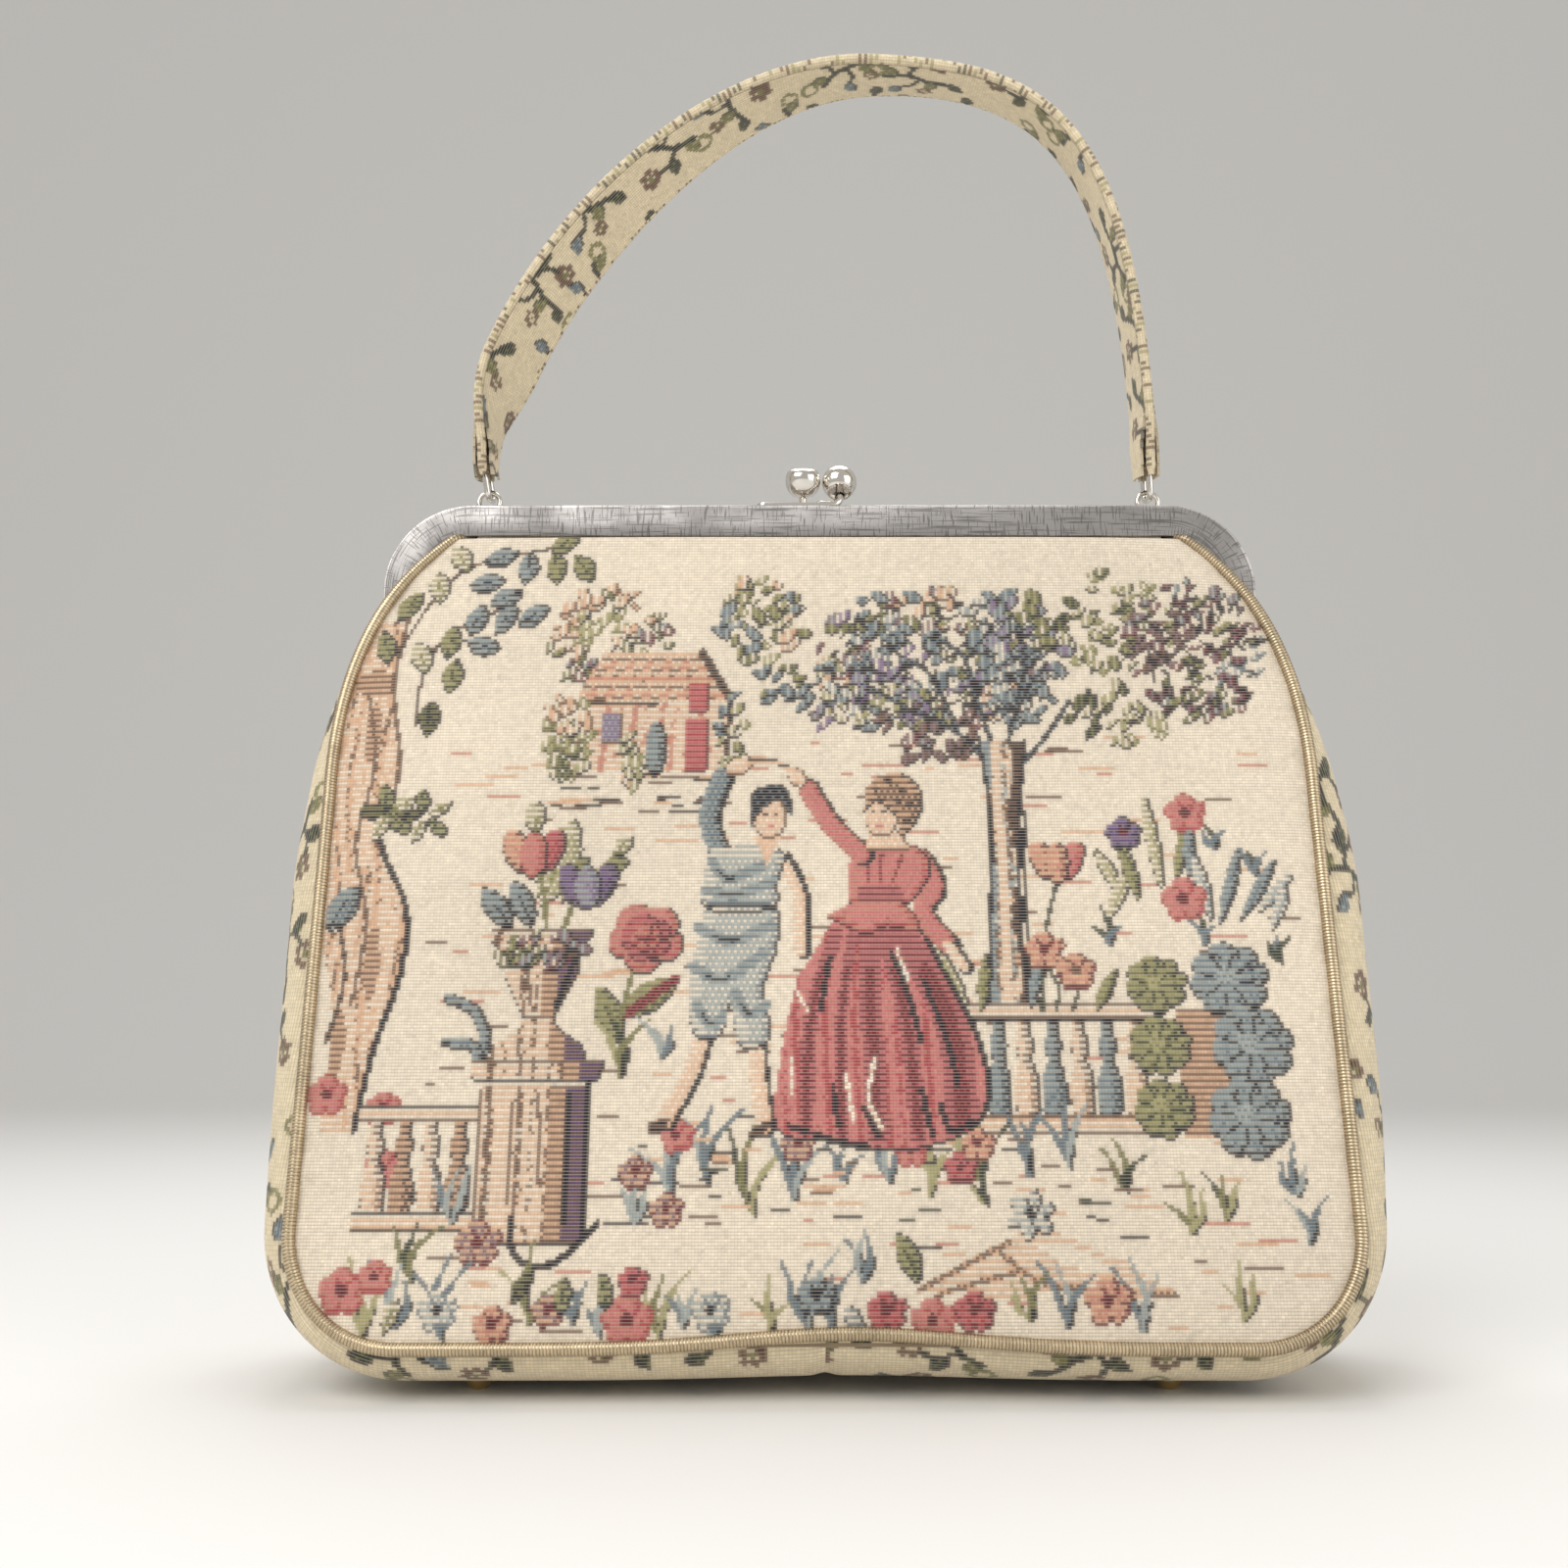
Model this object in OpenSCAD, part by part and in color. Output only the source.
// Kiss-lock handbag of woven tapestry cloth: a boxed cloth body on four feet, closed by
// a hinged metal frame with two snap balls, and carried by a fabric strap handle.
// Millimetres, +Z up, front towards -Y, origin on the ground under the middle of the bag.

/* [Body] */
// Height of the closed frame's top edge above the ground
body_h = 212; // [195:1:240]
// Width of the front and back panels, across the piping
panel_w = 235; // [222:1:260]
// Depth between the two panels at the bottom piping
base_depth = 71; // [58:1:86]
// Radius of the panels' lower corners
panel_corner_r = 25; // [18:1:36]
// Height along the panel at which the sides start to turn in to the frame
shoulder_s = 125; // [110:1:140]
// How far the gusset's floor hangs below the bottom piping
base_drop = 9; // [8:0.5:14]
// How far the gusset swells out past the piping at the sides
side_swell = 12.5; // [6:0.5:16]
// How far the gusset still swells out at its upper end
top_swell = 3; // [2.5:0.5:6]
// Share of the bottom's depth that is flat
floor_share = 0.6; // [0.5:0.05:0.75]
// Share of the sides' depth that is flat
side_share = 0.2; // [0.1:0.05:0.5]

/* [Cloth and boards] */
// Thickness of the tapestry cloth
tapestry_t = 1.2; // [0.8:0.1:1.6]
// Thickness of the stiffening boards in the panels
board_t = 1.4; // [1:0.1:2]
// Thickness of the lining
lining_t = 0.5; // [0.3:0.1:0.7]
// Diameter of the corded piping round the panels
piping_d = 3; // [2:0.1:4]
// Thickness of the base board
base_board_t = 1.8; // [1.2:0.1:2.4]
// Room between neighbouring pieces
gap = 0.2; // [0.15:0.05:0.3]

/* [Frame] */
// Width of the frame
frame_w = 220; // [205:1:228]
// Height of the frame's face
frame_face = 8.2; // [7:0.1:10]
// Radius of the frame's upper corners
frame_corner_r = 22; // [16:1:28]
// Depth of the closed frame
frame_depth = 11; // [10:0.2:14]
// Thickness of the frame's sheet metal
frame_wall = 0.8; // [0.6:0.1:1]
// Height of the lip that grips the cloth
lip_h = 5; // [3:0.5:6]
// Room between the two closed frame halves
frame_split = 0.4; // [0.2:0.1:0.8]
// Depth of the hinge below the frame's top
hinge_drop = 27; // [25:0.5:34]
// Radius of the hinge ears
ear_r = 4; // [3:0.1:4.4]
// Radius of the hinge rivet's shank
rivet_r = 1.2; // [0.8:0.1:1.5]
// Radius of the hinge rivet's heads
rivet_head_r = 2; // [1.8:0.1:2.6]

/* [Clasp] */
// Diameter of the snap balls
ball_d = 9; // [7:0.1:10]
// Distance between the snap balls' centres, along the frame
ball_pitch = 9.4; // [9.3:0.1:12]
// Middle of the two balls, from the middle of the frame
clasp_x = 0.6; // [-5:0.1:5]
// Height of the balls' centres above the frame
ball_z = 8; // [7:0.1:10]
// Lean of the ball stems across the frame
stem_lean = 24; // [15:1:28]
// Radius of the ball stems
stem_r = 1; // [0.7:0.1:1.3]
// Length of the flat spring arm under the front ball
arm_len = 17; // [12:0.5:24]
// Width of the spring arm
arm_w = 4.2; // [3:0.1:4.6]
// Thickness of the spring arm
arm_t = 0.9; // [0.7:0.1:1.2]

/* [Handle] */
// Distance of the eyelets from the ends of the frame's straight top
eyelet_inset = 2.5; // [2.2:0.1:10]
// Radius of the eyelet loops, to the middle of the wire
eyelet_r = 2.7; // [2.4:0.1:3.4]
// Radius of the eyelet wire
eyelet_wire_r = 0.65; // [0.5:0.05:0.7]
// Height of the handle's middle above the eyelets
handle_h = 107; // [90:1:130]
// Forward lean of the handle
handle_lean = 11; // [0:1:20]
// Lean of the left end of the strap towards the middle, outwards below zero
left_lean = -9; // [-15:1:25]
// Lean of the right end of the strap towards the middle, outwards below zero
right_lean = 4; // [-5:1:25]
// Twist of the strap's left half
strap_twist = 36; // [0:1:45]
// Width of the strap between its welts
strap_w = 14.8; // [12:0.2:18]
// Width of the strap's ends between their welts
strap_end_w = 8.8; // [8.6:0.1:10]
// Thickness of one cloth layer of the strap
strap_layer_t = 0.7; // [0.5:0.1:1]
// Thickness of the strap's core
strap_core_t = 1.2; // [0.8:0.1:1.6]
// Radius of the strap's welted edges
welt_r = 1.2; // [0.8:0.1:1.5]
// Half width of the wire links
link_half_w = 3.4; // [3.2:0.05:3.5]
// Length of the wire links, between the bars' middles
link_len = 10; // [9:0.1:12]
// Radius of the link wire
link_wire_r = 0.8; // [0.6:0.05:0.85]

/* [Feet] */
// Radius of the foot studs
foot_r = 3.5; // [3:0.1:5]
// Height of the foot studs
foot_h = 3; // [2:0.1:5]
// Radius of the small flat under a stud
foot_flat_r = 1.3; // [1:0.1:1.6]
// Distance of the studs from the ends of the flat bottom
foot_inset_x = 14.5; // [10:0.5:30]
// Distance of the studs from the long edges of the base board
foot_inset_y = 4; // [3.5:0.5:8]
// Radius of the studs' shanks
shank_r = 1; // [0.7:0.1:1.3]
// Thickness of the studs' clinched heads
clinch_t = 0.6; // [0.4:0.1:0.8]

/* [Hidden] */
$fn = 48;

// Colours of the finishes
TAPESTRY = [0.85, 0.77, 0.60];
SPRIG = [0.82, 0.74, 0.55];
CORD = [0.72, 0.67, 0.57];
BOARD = [0.62, 0.55, 0.45];
LINING = [0.80, 0.74, 0.62];
SILVER = [0.70, 0.70, 0.70];
NICKEL = [0.83, 0.81, 0.76];
BRASS = [0.78, 0.66, 0.40];

// Heights and depths that the body and the frame share
half_depth = frame_depth / 2;
half_w = frame_w / 2;
base_z = foot_h;
piping_z = base_z + base_drop;
piping_r = piping_d / 2;
frame_low = body_h - frame_face;
hinge_z = body_h - hinge_drop;
hinge_clear = 3 * gap;
body_top_z = hinge_z - ear_r - hinge_clear;
straight_w = half_w - frame_corner_r;

// The panels lean together towards the frame
lean = atan((base_depth / 2 - half_depth - gap) / (frame_low - piping_z));
panel_len = (frame_low - gap - piping_z) / cos(lean);
body_top_s = (body_top_z - piping_z) / cos(lean);
flat_x = panel_w / 2 - panel_corner_r;
edge_inset = 2.5 * gap;

// The panel's top is tucked into the frame's channel
tuck_bend = 1.5;
tuck_s = panel_len - tuck_bend;
tuck_w = straight_w - 5 * gap;
tuck_top = body_h - frame_wall - 8 * gap;
tuck_y = half_depth - frame_wall - gap;
lining_y = tuck_y - tapestry_t - gap;
weld = 1;
tuck_weld = piping_r + weld;

// The shoulder's curve runs from the side to the frame's inner corner
shoulder_x = straight_w + 2.6;
shoulder_bow_x = panel_w / 2 + 1.5;
shoulder_bow_s = 0.31 * shoulder_s + 0.69 * panel_len;

// Floor of the bag, from the ground up
base_board_z = base_z + tapestry_t + gap;
clinch_z = base_board_z + base_board_t;
floor_half_y = (base_depth / 2 - gap - tapestry_t) * floor_share - gap;
foot_x = flat_x - foot_inset_x;
foot_y = floor_half_y - foot_inset_y;
clinch_r = 2.2 * shank_r;
shank_room = 0.1;

// Hinge ears: the front half's lie outside, the back half's inside
hinge_room = 0.1;
ear_outer_x = half_w - frame_wall;
ear_inner_x = ear_outer_x - gap - frame_wall;
rivet_head_t = 0.6;

// Clasp: the left ball stands on the back half, the right ball on the front half
ball_r = ball_d / 2;
left_ball_x = clasp_x - ball_pitch / 2;
right_ball_x = clasp_x + ball_pitch / 2;
rim_mid = half_depth / 2;
stem_base_z = body_h + stem_r + gap / 4;
stem_sink = 1.2;
stem_bend_r = 2.2;
wire_lap = 3;

// Handle: it turns on the top wire of the eyelets
eyelet_x = straight_w - eyelet_inset;
eyelet_base_r = 2;
eyelet_base_t = 0.8;
handle_z = body_h + eyelet_base_t + 2 * eyelet_r;
link_room = 0.15;
link_slack = 0.5;
link_low = -(eyelet_wire_r + link_wire_r + link_slack);
link_high = link_low + link_len;
link_corner_r = 2 * link_wire_r;
eye_wall = 0.8;
eye_r = link_wire_r + link_room + eye_wall;
strap_start = 3.8;
layer_mid = strap_core_t / 2 + gap + strap_layer_t / 2;
layer_end = eye_r + gap + strap_layer_t / 2;
strap_taper = 14;
strap_steps = 15;
strap_grading = 1.4;

left_dir = [sin(left_lean), cos(left_lean)];
right_dir = [-sin(right_lean), cos(right_lean)];
left_foot = [-eyelet_x, 0];
right_foot = [eyelet_x, 0];
strap_left = [
    left_foot + strap_start * left_dir, left_foot + 0.33 * handle_h * left_dir,
    [-0.44 * eyelet_x, handle_h], [0.16 * eyelet_x, handle_h]
];
strap_right = [
    [0.16 * eyelet_x, handle_h], [0.74 * eyelet_x, handle_h],
    right_foot + 0.82 * handle_h * right_dir, right_foot + strap_start * right_dir
];

function unit(v) = v / norm(v);
function smooth(t) = let (c = max(0, min(1, t))) c * c * (3 - 2 * c);
function mix(a, b, t) = a + (b - a) * t;
function reversed(list) = [for (i = [len(list) - 1:-1:0]) list[i]];

function cubic(p, t) = pow(1 - t, 3) * p[0] + 3 * t * pow(1 - t, 2) * p[1]
    + 3 * t * t * (1 - t) * p[2] + pow(t, 3) * p[3];
function cubic_dir(p, t) = unit(pow(1 - t, 2) * (p[1] - p[0]) + 2 * t * (1 - t) * (p[2] - p[1])
    + t * t * (p[3] - p[2]));
function quadratic(p, t) = pow(1 - t, 2) * p[0] + 2 * t * (1 - t) * p[1] + t * t * p[2];
function quadratic_dir(p, t) = unit((1 - t) * (p[1] - p[0]) + t * (p[2] - p[1]));

// Half of the panel's edge as [x, s, normal x, normal s], from the bottom's middle upwards
shoulder = [[panel_w / 2, shoulder_s], [shoulder_bow_x, shoulder_bow_s], [shoulder_x, panel_len]];
function shoulder_t(s) = let (
    a = shoulder_s - 2 * shoulder_bow_s + panel_len,
    b = 2 * (shoulder_bow_s - shoulder_s),
    c = shoulder_s - s
) (-b + sqrt(b * b - 4 * a * c)) / (2 * a);
function edge_half(start_x, top_s, bottoms = 5, arcs = 7, sides = 5, bows = 8) = concat(
    [for (i = [0:bottoms]) [mix(start_x, flat_x, i / bottoms), 0, 0, -1]],
    [for (i = [1:arcs]) let (q = 90 * i / arcs - 90)
        [flat_x + panel_corner_r * cos(q), panel_corner_r * (1 + sin(q)), cos(q), sin(q)]],
    [for (i = [1:sides]) [panel_w / 2, mix(panel_corner_r, shoulder_s, i / sides), 1, 0]],
    [for (i = [1:bows]) let (
        t = shoulder_t(top_s) * i / bows,
        p = quadratic(shoulder, t),
        d = quadratic_dir(shoulder, t)
    ) [p.x, p.y, d.y, -d.x]]
);
function edge_whole(top_s) = let (half = edge_half(0, top_s)) concat(
    [for (i = [len(half) - 1:-1:1]) [-half[i][0], half[i][1], -half[i][2], half[i][3]]],
    half
);
function outline(top_s, inset) = [for (e = edge_whole(top_s)) [e[0] - inset * e[2], e[1] - inset * e[3]]];

// A point of the front panel at height s along it and n in front of its back face
function front_yz(s, n) = [
    -base_depth / 2 + s * sin(lean) - n * cos(lean),
    piping_z + s * cos(lean) + n * sin(lean)
];

module on_front(n = 0) {
    translate([0, -base_depth / 2, piping_z])
        rotate([90 - lean, 0, 0])
            translate([0, 0, n])
                children();
}

module to_back() {
    mirror([0, 1, 0])
        children();
}

module to_left() {
    mirror([1, 0, 0])
        children();
}

// A strip across the bag with the given outline in Y and Z
module cross_strip(half_width, points) {
    translate([-half_width, 0, 0])
        rotate([90, 0, 90])
            linear_extrude(2 * half_width)
                polygon(points);
}

// A skin over rings of equal length; cap lists the polygons of one ring's face.
// With paired, the second half of the walls is cut along the same diagonals as the first.
module skin(rings, cap, paired = false) {
    n = len(rings[0]);
    last = (len(rings) - 1) * n;
    points = [for (ring = rings) each ring];
    walls = [for (r = [0:len(rings) - 2], i = [0:n - 1]) let (
        a = r * n + i,
        b = r * n + (i + 1) % n
    ) each paired && i >= n / 2
        ? [[a, a + n, b + n], [a, b + n, b]]
        : [[a, a + n, b], [b, a + n, b + n]]];
    low_cap = [for (f = cap) f];
    high_cap = [for (f = cap) [for (k = reversed(f)) k + last]];
    polyhedron(points = points, faces = concat(walls, low_cap, high_cap), convexity = 10);
}

function round_cap(n) = [[for (i = [0:n - 1]) i]];
function shell_cap(m) = [for (i = [0:m - 2]) [i, i + 1, 2 * m - 2 - i, 2 * m - 1 - i]];

// Body

module panel_cloth() {
    on_front()
        linear_extrude(tapestry_t)
            polygon(outline(tuck_s, piping_r + gap));
    cross_strip(tuck_w, [
        front_yz(tuck_s - tuck_weld, gap / 2),
        [-tuck_y + tapestry_t, frame_low - weld],
        [-tuck_y + tapestry_t, tuck_top],
        [-tuck_y, tuck_top],
        [-tuck_y, frame_low - gap],
        front_yz(tuck_s - tuck_weld, tapestry_t - gap / 2)
    ]);
}

module piping_cord() {
    sides = 8;
    on_front()
        skin([for (e = edge_whole(panel_len)) [for (i = [0:sides - 1]) let (q = 360 * i / sides)
            [e[0] + piping_r * cos(q) * e[2], e[1] + piping_r * cos(q) * e[3], piping_r * (1 + sin(q))]
        ]], round_cap(sides));
}

module panel_board() {
    on_front(-gap - board_t)
        linear_extrude(board_t)
            polygon(outline(body_top_s, edge_inset));
}

module panel_lining() {
    depth = 2 * gap + board_t + lining_t;
    on_front(-depth)
        linear_extrude(lining_t)
            polygon(outline(body_top_s, edge_inset));
    cross_strip(tuck_w, [
        front_yz(body_top_s - weld, -depth + lining_t / 10),
        [-lining_y + lining_t, frame_low - weld],
        [-lining_y + lining_t, tuck_top],
        [-lining_y, tuck_top],
        [-lining_y, frame_low - weld],
        front_yz(body_top_s - weld, -depth + 0.9 * lining_t)
    ]);
}

// Half depth, swell and flat share of the gusset at height s
function wall_half(s) = base_depth / 2 - s * sin(lean) - gap;
function wall_rise(s) = smooth(s / (2.4 * panel_corner_r));
function wall_swell(s) = mix(
    mix(base_drop, side_swell, wall_rise(s)),
    top_swell,
    smooth((s - shoulder_s * 0.8) / (body_top_s - shoulder_s * 0.8))
);
function wall_flat(s) = mix(floor_share, side_share, wall_rise(s));
function wall_curve(half, swell, flat, steps = 4) = let (
    front = [for (i = [0:steps]) let (q = 90 * i / steps) [-half * mix(cos(q), 1, flat), swell * sin(q)]]
) concat(front, [for (p = reversed(front)) [-p.x, p.y]]);

// One ring of a wall of the given thickness, set in from the gusset's outside and raised off its floor
function wall_ring(e, inset, floor_rise, thickness) = let (
    half = wall_half(e[1]) - inset,
    swell = wall_swell(e[1]) - inset - floor_rise * (1 - wall_rise(e[1])),
    flat = wall_flat(e[1]),
    section = concat(
        wall_curve(half, swell, flat),
        reversed(wall_curve(half - thickness, swell - thickness, flat))
    )
) [for (p = section) [
    e[0] + p.y * e[2], p.x, piping_z + e[1] * cos(lean) + p.y * e[3] * cos(lean)
]];
wall_points = len(wall_curve(1, 1, 0));

module gusset() {
    color(SPRIG)
        difference() {
            skin([for (e = edge_half(gap / 2, body_top_s)) wall_ring(e, 0, 0, tapestry_t)],
                shell_cap(wall_points));
            for (y = [-foot_y, foot_y])
                translate([foot_x, y, 0])
                    cylinder(r = shank_r + shank_room, h = piping_z);
        }
}

module front_panel() {
    color(TAPESTRY)
        panel_cloth();
}

module back_panel() {
    color(SPRIG)
        to_back() panel_cloth();
}

module gusset_left() {
    to_left() gusset();
}

module gusset_right() {
    gusset();
}

module front_piping() {
    color(CORD)
        piping_cord();
}

module back_piping() {
    color(CORD)
        to_back() piping_cord();
}

module front_board() {
    color(BOARD)
        panel_board();
}

module back_board() {
    color(BOARD)
        to_back() panel_board();
}

module base_board() {
    board_x = flat_x - edge_inset;
    color(BOARD)
        difference() {
            translate([-board_x, -floor_half_y, base_board_z])
                cube([2 * board_x, 2 * floor_half_y, base_board_t]);
            for (x = [-foot_x, foot_x], y = [-foot_y, foot_y])
                translate([x, y, base_z])
                    cylinder(r = shank_r + shank_room, h = piping_z);
        }
}

module lining_front() {
    color(LINING)
        panel_lining();
}

module lining_back() {
    color(LINING)
        to_back() panel_lining();
}

module lining_gusset() {
    floor_rise = base_board_t + clinch_t + 2 * gap;
    color(LINING)
        skin([for (e = edge_whole(body_top_s)) wall_ring(e, tapestry_t + gap, floor_rise, lining_t)],
            shell_cap(wall_points));
}

// Feet: a domed stud whose shank passes the cloth and the board and is clinched inside

module foot(x, y) {
    dome_z = (foot_r * foot_r + foot_h * foot_h - foot_flat_r * foot_flat_r) / (2 * foot_h);
    dome_r = sqrt(foot_flat_r * foot_flat_r + dome_z * dome_z);
    color(BRASS)
        translate([x, y, 0]) {
            intersection() {
                translate([0, 0, dome_z])
                    sphere(r = dome_r);
                cylinder(r = 2 * foot_r, h = foot_h);
            }
            translate([0, 0, foot_h / 2])
                cylinder(r = shank_r, h = clinch_z - foot_h / 2 + clinch_t / 2);
            translate([0, 0, clinch_z])
                cylinder(r = clinch_r, h = clinch_t);
        }
}

module foot_front_left() {
    foot(-foot_x, -foot_y);
}

module foot_front_right() {
    foot(foot_x, -foot_y);
}

module foot_back_left() {
    foot(-foot_x, foot_y);
}

module foot_back_right() {
    foot(foot_x, foot_y);
}

// Frame: each half is a channel of sheet metal bent round the top of the bag

module arch(width, top, r, low) {
    intersection() {
        union() {
            translate([-width / 2, low])
                square([width, top - r - low]);
            translate([-width / 2 + r, low])
                square([width - 2 * r, top - low]);
            for (side = [-1, 1])
                translate([side * (width / 2 - r), top - r])
                    circle(r = r);
        }
        translate([-width / 2, low])
            square([width, top - low]);
    }
}

module frame_band(band, low) {
    difference() {
        arch(frame_w, body_h, frame_corner_r, low);
        arch(frame_w - 2 * band, body_h - band, frame_corner_r - band, low - weld);
    }
}

// Extrudes an outline in X and Z between two depths
module in_depth(y0, y1) {
    translate([0, y1, 0])
        rotate([90, 0, 0])
            linear_extrude(y1 - y0)
                children();
}

module frame_channel(rim_low) {
    in_depth(-half_depth, -half_depth + frame_wall)
        frame_band(frame_face, hinge_z);
    in_depth(-half_depth, -frame_split / 2)
        frame_band(frame_wall, rim_low);
    in_depth(-frame_split / 2 - frame_wall, -frame_split / 2)
        intersection() {
            frame_band(lip_h, hinge_z);
            translate([-frame_w, body_h - frame_corner_r])
                square([2 * frame_w, frame_corner_r]);
        }
}

module along_hinge(x, length, r) {
    translate([x, 0, hinge_z])
        rotate([0, 90, 0])
            cylinder(r = r, h = length);
}

module both_sides() {
    children();
    to_left() children();
}

module hinge_holes() {
    both_sides()
        along_hinge(ear_inner_x - weld, 2 * frame_wall + gap + 2 * weld, rivet_r + hinge_room);
}

module front_frame() {
    color(SILVER)
        difference() {
            union() {
                frame_channel(hinge_z);
                both_sides()
                    along_hinge(ear_outer_x, frame_wall, ear_r);
            }
            hinge_holes();
        }
}

module back_frame() {
    color(SILVER)
        difference() {
            union() {
                to_back() frame_channel(hinge_z + ear_r + hinge_clear);
                both_sides() {
                    along_hinge(ear_inner_x, frame_wall, ear_r);
                    translate([ear_inner_x, 0, hinge_z])
                        cube([frame_wall, half_depth - frame_wall / 2, ear_r]);
                }
            }
            hinge_holes();
        }
}

module hinge_rivet() {
    color(SILVER) {
        along_hinge(ear_inner_x - hinge_room - rivet_head_t / 2,
            2 * frame_wall + gap + 2 * hinge_room + rivet_head_t, rivet_r);
        along_hinge(ear_inner_x - hinge_room - rivet_head_t, rivet_head_t, rivet_head_r);
        along_hinge(half_w + hinge_room, rivet_head_t, rivet_head_r);
    }
}

module hinge_rivet_left() {
    to_left() hinge_rivet();
}

module hinge_rivet_right() {
    hinge_rivet();
}

// Clasp: two balls that snap past each other

function stem_len(base_z) = (body_h + ball_z - base_z) / cos(stem_lean);

// A frame whose Z axis runs up a ball's stem; side is 1 for the back half's stem and -1 for the front half's
module at_stem(x, side, base_z) {
    translate([x, side * rim_mid, base_z])
        rotate([side * stem_lean, 0, 0])
            children();
}

module snap_ball(stem) {
    collar_r = 1.8 * stem_r;
    color(NICKEL)
        difference() {
            union() {
                translate([0, 0, stem])
                    sphere(r = ball_r);
                translate([0, 0, stem - ball_r - collar_r / 4])
                    cylinder(r = collar_r, h = collar_r);
            }
            translate([0, 0, stem - 2 * ball_r])
                cylinder(r = stem_r + hinge_room, h = 2 * ball_r - stem_sink + hinge_room);
        }
}

module clasp_post() {
    color(NICKEL) {
        intersection() {
            at_stem(left_ball_x, 1, body_h)
                translate([0, 0, -ball_r])
                    cylinder(r = stem_r, h = stem_len(body_h) - stem_sink + ball_r);
            translate([left_ball_x - ball_d, -ball_d, body_h])
                cube([2 * ball_d, 2 * ball_d, 2 * ball_d]);
        }
        translate([left_ball_x, rim_mid, body_h])
            cylinder(r = 1.8 * stem_r, h = arm_t / 2);
    }
}

module clasp_ball_left() {
    at_stem(left_ball_x, 1, body_h)
        snap_ball(stem_len(body_h));
}

// The flat spring arm runs into a round wire that bends up to the ball
module clasp_arm() {
    plate_end = right_ball_x - stem_bend_r;
    color(NICKEL) {
        translate([0, -rim_mid, body_h])
            linear_extrude(arm_t) {
                translate([plate_end - arm_len, -arm_w / 2])
                    square([arm_len, arm_w]);
                translate([plate_end - arm_len, 0])
                    circle(d = arm_w);
            }
        at_stem(right_ball_x, -1, stem_base_z) {
            translate([-stem_bend_r - wire_lap, 0, 0])
                sphere(r = stem_r);
            translate([-stem_bend_r - wire_lap, 0, 0])
                rotate([0, 90, 0])
                    cylinder(r = stem_r, h = wire_lap);
            translate([-stem_bend_r, 0, stem_bend_r])
                rotate([90, 0, 0])
                    rotate([0, 0, -90])
                        rotate_extrude(angle = 90)
                            translate([stem_bend_r, 0])
                                circle(r = stem_r);
            translate([0, 0, stem_bend_r])
                cylinder(r = stem_r, h = stem_len(stem_base_z) - stem_sink - stem_bend_r);
        }
    }
}

module clasp_ball_right() {
    at_stem(right_ball_x, -1, stem_base_z)
        snap_ball(stem_len(stem_base_z));
}

// Handle

module eyelet() {
    color(NICKEL)
        translate([eyelet_x, rim_mid, body_h]) {
            cylinder(r = eyelet_base_r, h = eyelet_base_t);
            translate([0, 0, eyelet_base_t + eyelet_r])
                rotate([90, 0, 0])
                    rotate_extrude()
                        translate([eyelet_r, 0])
                            circle(r = eyelet_wire_r);
        }
}

module eyelet_left() {
    to_left() eyelet();
}

module eyelet_right() {
    eyelet();
}

module in_handle() {
    translate([0, rim_mid, handle_z])
        rotate([handle_lean, 0, 0])
            children();
}

// A closed wire link that lies in Y and Z, with its lower bar under the eyelet's wire
module wire_link() {
    bar = 2 * (link_half_w - link_corner_r);
    leg = link_len - 2 * link_corner_r;
    rotate([90, 0, 90])
        translate([0, link_low, 0]) {
            for (x = [-link_half_w, link_half_w])
                translate([x, link_corner_r, 0])
                    rotate([-90, 0, 0])
                        cylinder(r = link_wire_r, h = leg);
            for (y = [0, link_len])
                translate([-bar / 2, y, 0])
                    rotate([0, 90, 0])
                        cylinder(r = link_wire_r, h = bar);
            for (x = [-1, 1], y = [0, 1])
                translate([x * bar / 2, link_corner_r + y * leg, 0])
                    rotate([0, 0, y == 1 ? (x == 1 ? 0 : 90) : (x == 1 ? 270 : 180)])
                        rotate_extrude(angle = 90)
                            translate([link_corner_r, 0])
                                circle(r = link_wire_r);
        }
}

module at_left_end() {
    in_handle()
        translate([-eyelet_x, 0, 0])
            rotate([0, left_lean, 0])
                children();
}

module at_right_end() {
    in_handle()
        translate([eyelet_x, 0, 0])
            rotate([0, -right_lean, 0])
                children();
}

module link_left() {
    color(NICKEL)
        at_left_end() wire_link();
}

module link_right() {
    color(NICKEL)
        at_right_end() wire_link();
}

// The strap at u, from 0 at its left end to 2 at its right end
function strap_point(u) = u <= 1 ? cubic(strap_left, u) : cubic(strap_right, u - 1);
function strap_dir(u) = u <= 1 ? cubic_dir(strap_left, u) : cubic_dir(strap_right, u - 1);
function strap_reach(u) = min(norm(strap_point(u) - left_foot), norm(strap_point(u) - right_foot));
function strap_turn(u) = strap_twist * smooth(min((u - 0.06) / 0.2, (1.15 - u) / 0.75));
function strap_out(u) = let (d = strap_dir(u), q = strap_turn(u)) [-d.y * cos(q), sin(q), d.x * cos(q)];
function strap_side(u) = let (d = strap_dir(u), q = strap_turn(u)) [d.y * sin(q), cos(q), -d.x * sin(q)];
function strap_at(u, side, out) = let (p = strap_point(u))
    [p.x, 0, p.y] + side * strap_side(u) + out * strap_out(u);
function strap_half(u) = mix(strap_end_w, strap_w, smooth((strap_reach(u) - 6) / strap_taper)) / 2;
function layer_out(u) = mix(layer_end, layer_mid, smooth((strap_reach(u) - link_high - eye_r) / 12));
function strap_band(u, half, out, thickness) = [
    strap_at(u, -half, out - thickness / 2), strap_at(u, half, out - thickness / 2),
    strap_at(u, half, out + thickness / 2), strap_at(u, -half, out + thickness / 2)
];
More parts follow.
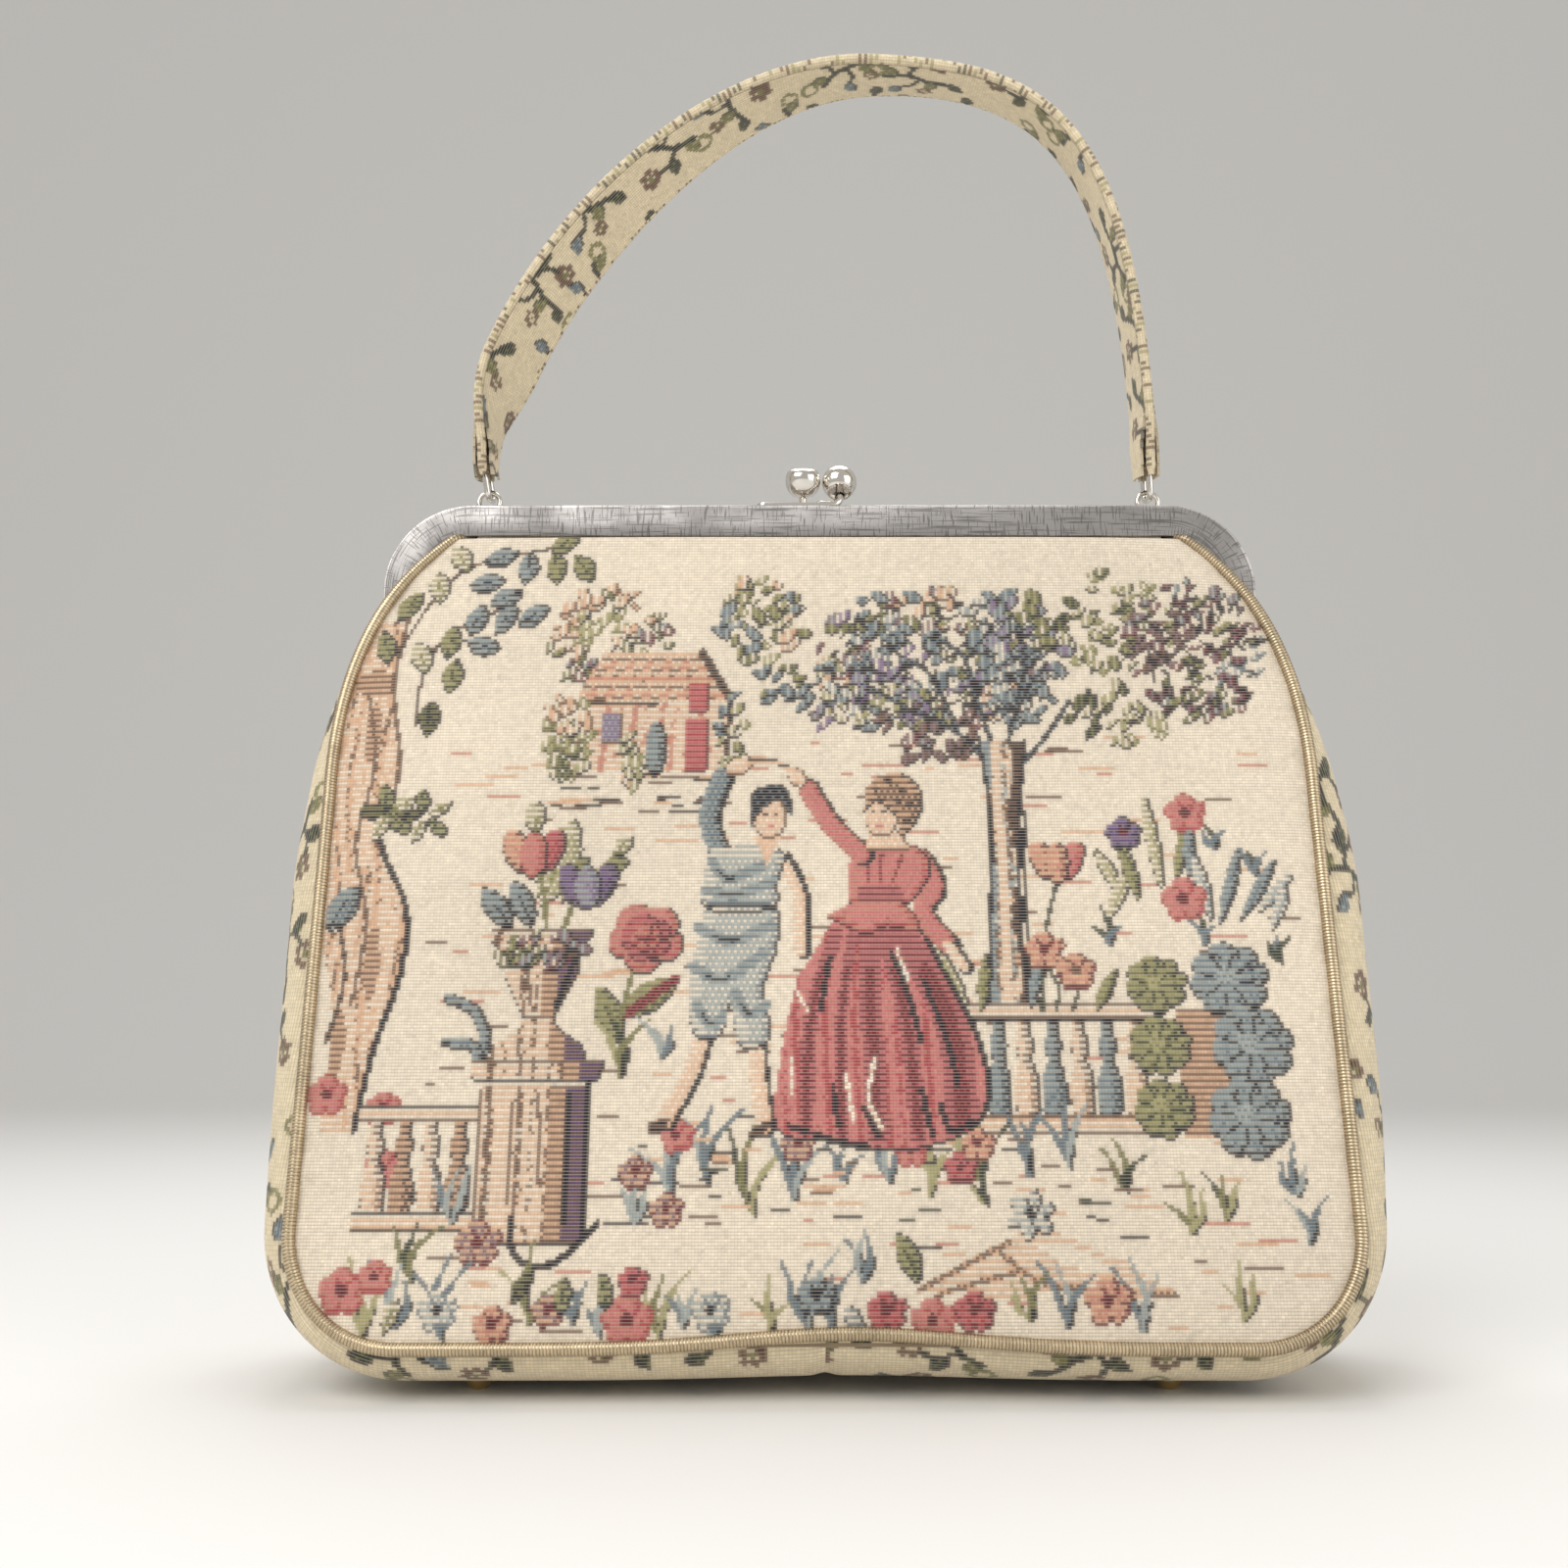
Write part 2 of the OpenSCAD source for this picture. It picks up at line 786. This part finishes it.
// The steps along the strap are shorter towards its ends
strap_u = [for (i = [-strap_steps:strap_steps]) let (k = 1 - abs(i) / strap_steps)
    1 + sign(i) * (1 - pow(k, strap_grading))];

module strap_layer(side) {
    color(SPRIG)
        in_handle()
            skin([for (u = strap_u) strap_band(u, strap_half(u), side * layer_out(u), strap_layer_t)],
                round_cap(4), paired = true);
}

module strap_outer() {
    strap_layer(1);
}

module strap_inner() {
    strap_layer(-1);
}

module strap_welt(side) {
    sides = 8;
    color(SPRIG)
        in_handle()
            skin([for (u = strap_u) [for (i = [0:sides - 1]) let (q = 360 * i / sides)
                strap_at(u, side * (strap_half(u) + gap + welt_r) + welt_r * cos(q), welt_r * sin(q))
            ]], round_cap(sides));
}

module strap_welt_front() {
    strap_welt(-1);
}

module strap_welt_back() {
    strap_welt(1);
}

module core_eye(bore) {
    half = link_half_w - link_wire_r - 4 * gap;
    translate([0, bore ? -2 * half : -half, link_high])
        rotate([-90, 0, 0])
            cylinder(r = bore ? link_wire_r + link_room : eye_r, h = bore ? 4 * half : 2 * half);
}

module strap_core() {
    eye_half = link_half_w - link_wire_r - 4 * gap;
    core_half = strap_w / 2 - edge_inset;
    left_eye = left_foot + (link_high + eye_wall) * left_dir;
    right_eye = right_foot + (link_high + eye_wall) * right_dir;
    function core_half_at(u) = mix(eye_half, core_half,
        smooth((strap_reach(u) - link_high - 2 * link_wire_r) / 16));
    function eye_ring(p, d) = [for (c = [[-1, -1], [1, -1], [1, 1], [-1, 1]])
        [p.x, 0, p.y] + c[0] * eye_half * [0, 1, 0] + c[1] * strap_core_t / 2 * [-d.y, 0, d.x]
    ];
    rings = concat(
        [eye_ring(left_eye, left_dir)],
        [for (u = strap_u) if (strap_reach(u) > link_high + eye_r)
            strap_band(u, core_half_at(u), 0, strap_core_t)],
        [eye_ring(right_eye, -right_dir)]
    );
    color(BOARD)
        difference() {
            union() {
                in_handle()
                    skin(rings, round_cap(4), paired = true);
                at_left_end() core_eye(false);
                at_right_end() core_eye(false);
            }
            at_left_end() core_eye(true);
            at_right_end() core_eye(true);
        }
}

front_panel();
back_panel();
gusset_left();
gusset_right();
front_piping();
back_piping();
front_board();
back_board();
base_board();
lining_front();
lining_back();
lining_gusset();
foot_front_left();
foot_front_right();
foot_back_left();
foot_back_right();
hinge_rivet_left();
hinge_rivet_right();
front_frame();
clasp_arm();
clasp_ball_right();
back_frame();
clasp_post();
clasp_ball_left();
eyelet_left();
eyelet_right();
link_left();
link_right();
strap_core();
strap_outer();
strap_inner();
strap_welt_front();
strap_welt_back();
